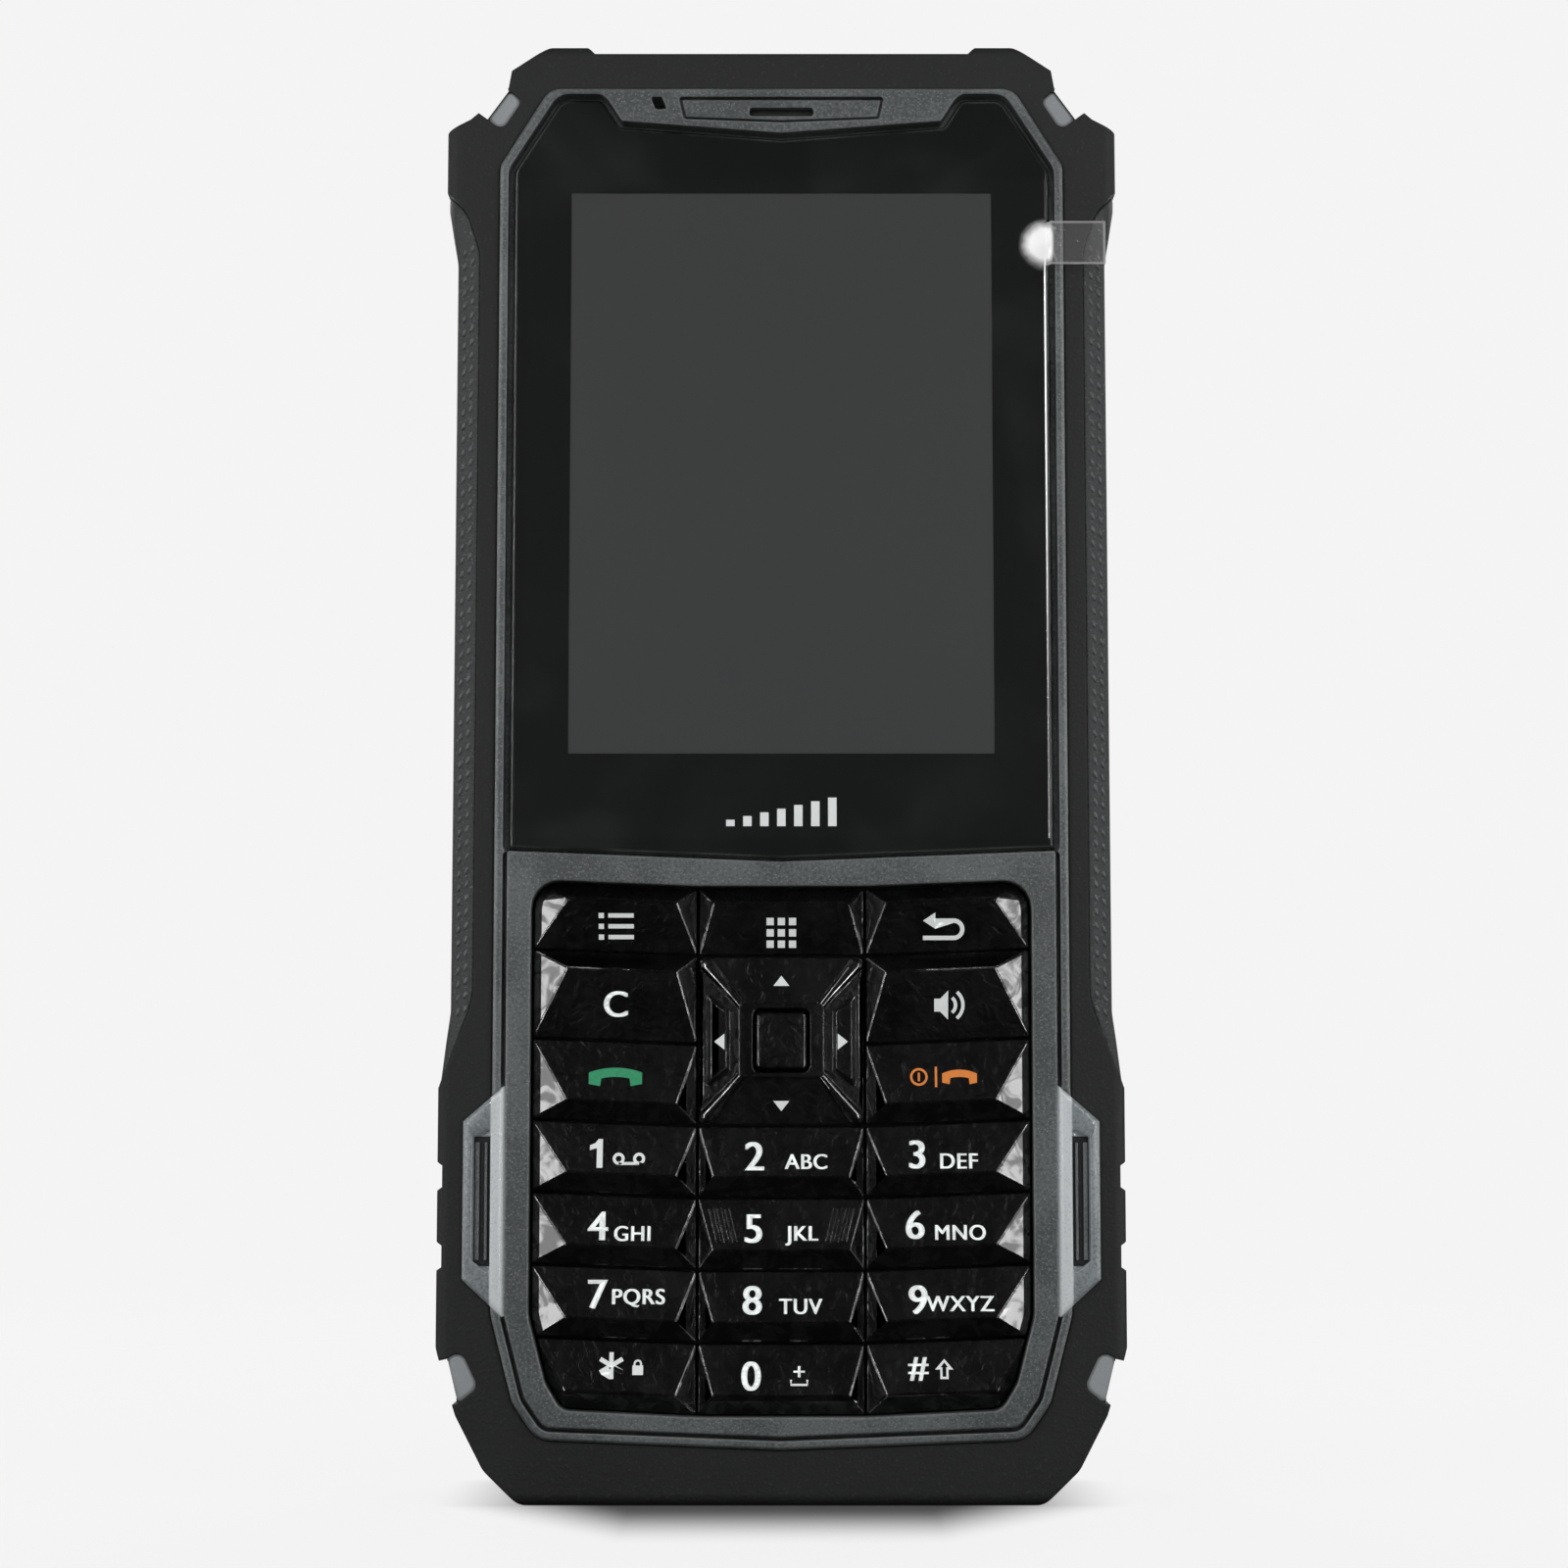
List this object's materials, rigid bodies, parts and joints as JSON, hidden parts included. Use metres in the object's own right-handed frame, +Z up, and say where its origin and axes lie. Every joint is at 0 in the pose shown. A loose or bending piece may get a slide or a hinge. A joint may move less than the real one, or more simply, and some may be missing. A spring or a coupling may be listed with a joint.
{
  "type": "rugged keypad phone",
  "caption": "Upright rugged handset with a rubber bumper, small screen behind a gloss lens, faceted keypad with a rocker, side keys, port flaps and a lift-off battery cover.",
  "frame": {"origin": "middle of the base, where the upright phone stands", "axes": "+Z up along the phone, -Y out of the front face, +X to the right as seen from the front"},
  "size_m": [0.0644, 0.022, 0.1388],
  "materials": {
    "bumper_rubber": "matt moulded rubber, fine grain",
    "grip_rubber": "matt dotted rubber",
    "front_frame": "fine speckled satin paint",
    "lens_black": "gloss, printed black behind",
    "insert_grey": "satin",
    "bracket_silver": "satin silver",
    "key_black": "gloss",
    "rear_shell": "matt grained",
    "cover_shell": "matt grained",
    "seal_orange": "matt silicone",
    "dark_rubber": "matt",
    "steel": "bright",
    "screw_steel": "dark zinc",
    "board_green": "solder mask",
    "module_dark": "satin",
    "battery_wrap": "satin film",
    "contact_gold": "plated",
    "window_glass": "gloss",
    "side_key_orange": "satin"
  },
  "bodies": {
    "root": {"bumper": "bumper_rubber", "front_case": "front_frame", "keypad_frame": "front_frame", "display_lens": "lens_black", "grip_left": "grip_rubber", "grip_right": "grip_rubber", "side_brackets": "bracket_silver", "corner_inserts": "insert_grey", "rear_case": "rear_shell", "earpiece_mesh": "module_dark", "speaker_grille": "cover_shell", "rear_window": "window_glass", "case_screws": "screw_steel", "usb_socket": "steel", "audio_jack": "module_dark", "display_module": "module_dark", "lens_gasket": "dark_rubber", "chassis": "steel", "main_board": "board_green", "shield_cans": "steel", "dome_sheet": "steel", "keypad_mat": "dark_rubber", "receiver": "module_dark", "loudspeaker": "module_dark", "microphone": "contact_gold", "vibration_motor": "steel", "camera_module": "module_dark", "battery": "battery_wrap", "battery_contacts": "contact_gold", "sim_holder": "steel", "antenna_flex": "contact_gold", "cover_seal": "seal_orange"},
    "nav_carrier": {"nav_carrier": "module_dark"},
    "nav_pad": {"nav_pad": "key_black"},
    "key_ok": {"key_ok": "key_black"},
    "key_menu": {"key_menu": "key_black"},
    "key_apps": {"key_apps": "key_black"},
    "key_back": {"key_back": "key_black"},
    "key_clear": {"key_clear": "key_black"},
    "key_speaker": {"key_speaker": "key_black"},
    "key_call": {"key_call": "key_black"},
    "key_end": {"key_end": "key_black"},
    "key_1": {"key_1": "key_black"},
    "key_2": {"key_2": "key_black"},
    "key_3": {"key_3": "key_black"},
    "key_4": {"key_4": "key_black"},
    "key_5": {"key_5": "key_black"},
    "key_6": {"key_6": "key_black"},
    "key_7": {"key_7": "key_black"},
    "key_8": {"key_8": "key_black"},
    "key_9": {"key_9": "key_black"},
    "key_star": {"key_star": "key_black"},
    "key_0": {"key_0": "key_black"},
    "key_hash": {"key_hash": "key_black"},
    "ptt_key": {"ptt_key": "side_key_orange"},
    "volume_key": {"volume_key": "dark_rubber"},
    "usb_flap": {"usb_flap": "dark_rubber"},
    "jack_flap": {"jack_flap": "dark_rubber"},
    "battery_cover": {"battery_cover": "cover_shell"},
    "cover_screw": {"cover_screw": "screw_steel"}
  },
  "joints": [
    {"name": "key_ok_press", "type": "slide", "parent": "root", "child": "key_ok", "axis": [0, 1, 0], "range_m": [0, 0.0004], "stiffness_N_per_m": 500},
    {"name": "key_menu_press", "type": "slide", "parent": "root", "child": "key_menu", "axis": [0, 1, 0], "range_m": [0, 0.0004], "stiffness_N_per_m": 500},
    {"name": "key_apps_press", "type": "slide", "parent": "root", "child": "key_apps", "axis": [0, 1, 0], "range_m": [0, 0.0004], "stiffness_N_per_m": 500},
    {"name": "key_back_press", "type": "slide", "parent": "root", "child": "key_back", "axis": [0, 1, 0], "range_m": [0, 0.0004], "stiffness_N_per_m": 500},
    {"name": "key_clear_press", "type": "slide", "parent": "root", "child": "key_clear", "axis": [0, 1, 0], "range_m": [0, 0.0004], "stiffness_N_per_m": 500},
    {"name": "key_speaker_press", "type": "slide", "parent": "root", "child": "key_speaker", "axis": [0, 1, 0], "range_m": [0, 0.0004], "stiffness_N_per_m": 500},
    {"name": "key_call_press", "type": "slide", "parent": "root", "child": "key_call", "axis": [0, 1, 0], "range_m": [0, 0.0004], "stiffness_N_per_m": 500},
    {"name": "key_end_press", "type": "slide", "parent": "root", "child": "key_end", "axis": [0, 1, 0], "range_m": [0, 0.0004], "stiffness_N_per_m": 500},
    {"name": "key_1_press", "type": "slide", "parent": "root", "child": "key_1", "axis": [0, 1, 0], "range_m": [0, 0.0004], "stiffness_N_per_m": 500},
    {"name": "key_2_press", "type": "slide", "parent": "root", "child": "key_2", "axis": [0, 1, 0], "range_m": [0, 0.0004], "stiffness_N_per_m": 500},
    {"name": "key_3_press", "type": "slide", "parent": "root", "child": "key_3", "axis": [0, 1, 0], "range_m": [0, 0.0004], "stiffness_N_per_m": 500},
    {"name": "key_4_press", "type": "slide", "parent": "root", "child": "key_4", "axis": [0, 1, 0], "range_m": [0, 0.0004], "stiffness_N_per_m": 500},
    {"name": "key_5_press", "type": "slide", "parent": "root", "child": "key_5", "axis": [0, 1, 0], "range_m": [0, 0.0004], "stiffness_N_per_m": 500},
    {"name": "key_6_press", "type": "slide", "parent": "root", "child": "key_6", "axis": [0, 1, 0], "range_m": [0, 0.0004], "stiffness_N_per_m": 500},
    {"name": "key_7_press", "type": "slide", "parent": "root", "child": "key_7", "axis": [0, 1, 0], "range_m": [0, 0.0004], "stiffness_N_per_m": 500},
    {"name": "key_8_press", "type": "slide", "parent": "root", "child": "key_8", "axis": [0, 1, 0], "range_m": [0, 0.0004], "stiffness_N_per_m": 500},
    {"name": "key_9_press", "type": "slide", "parent": "root", "child": "key_9", "axis": [0, 1, 0], "range_m": [0, 0.0004], "stiffness_N_per_m": 500},
    {"name": "key_star_press", "type": "slide", "parent": "root", "child": "key_star", "axis": [0, 1, 0], "range_m": [0, 0.0004], "stiffness_N_per_m": 500},
    {"name": "key_0_press", "type": "slide", "parent": "root", "child": "key_0", "axis": [0, 1, 0], "range_m": [0, 0.0004], "stiffness_N_per_m": 500},
    {"name": "key_hash_press", "type": "slide", "parent": "root", "child": "key_hash", "axis": [0, 1, 0], "range_m": [0, 0.0004], "stiffness_N_per_m": 500},
    {"name": "nav_rock_up_down", "type": "hinge", "parent": "root", "child": "nav_carrier", "pos_m": [0, -0.0092, 0.04292], "axis": [1, 0, 0], "range_deg": [-2.5, 2.5], "stiffness_Nm_per_rad": 0.02},
    {"name": "nav_rock_left_right", "type": "hinge", "parent": "nav_carrier", "child": "nav_pad", "pos_m": [0, -0.0092, 0.04292], "axis": [0, 0, 1], "range_deg": [-2.5, 2.5], "stiffness_Nm_per_rad": 0.02},
    {"name": "ptt_press", "type": "slide", "parent": "root", "child": "ptt_key", "axis": [1, 0, 0], "range_m": [0, 0.0004], "stiffness_N_per_m": 500},
    {"name": "volume_rock", "type": "hinge", "parent": "root", "child": "volume_key", "pos_m": [0.0299, 0, 0.0974], "axis": [0, 1, 0], "range_deg": [-2, 2], "stiffness_Nm_per_rad": 0.05},
    {"name": "usb_flap_hinge", "type": "hinge", "parent": "root", "child": "usb_flap", "pos_m": [0, 0.0013, 0.0011], "axis": [1, 0, 0], "range_deg": [0, 90]},
    {"name": "jack_flap_hinge", "type": "hinge", "parent": "root", "child": "jack_flap", "pos_m": [-0.011, 0.0012, 0.13705], "axis": [-1, 0, 0], "range_deg": [0, 90]},
    {"name": "cover_lift", "type": "slide", "parent": "root", "child": "battery_cover", "axis": [0, 1, 0], "range_m": [0, 0.012]},
    {"name": "cover_screw_turn", "type": "hinge", "parent": "battery_cover", "child": "cover_screw", "pos_m": [0, 0.01, 0.0206], "axis": [0, 1, 0], "range_deg": [0, 90]}
  ]
}
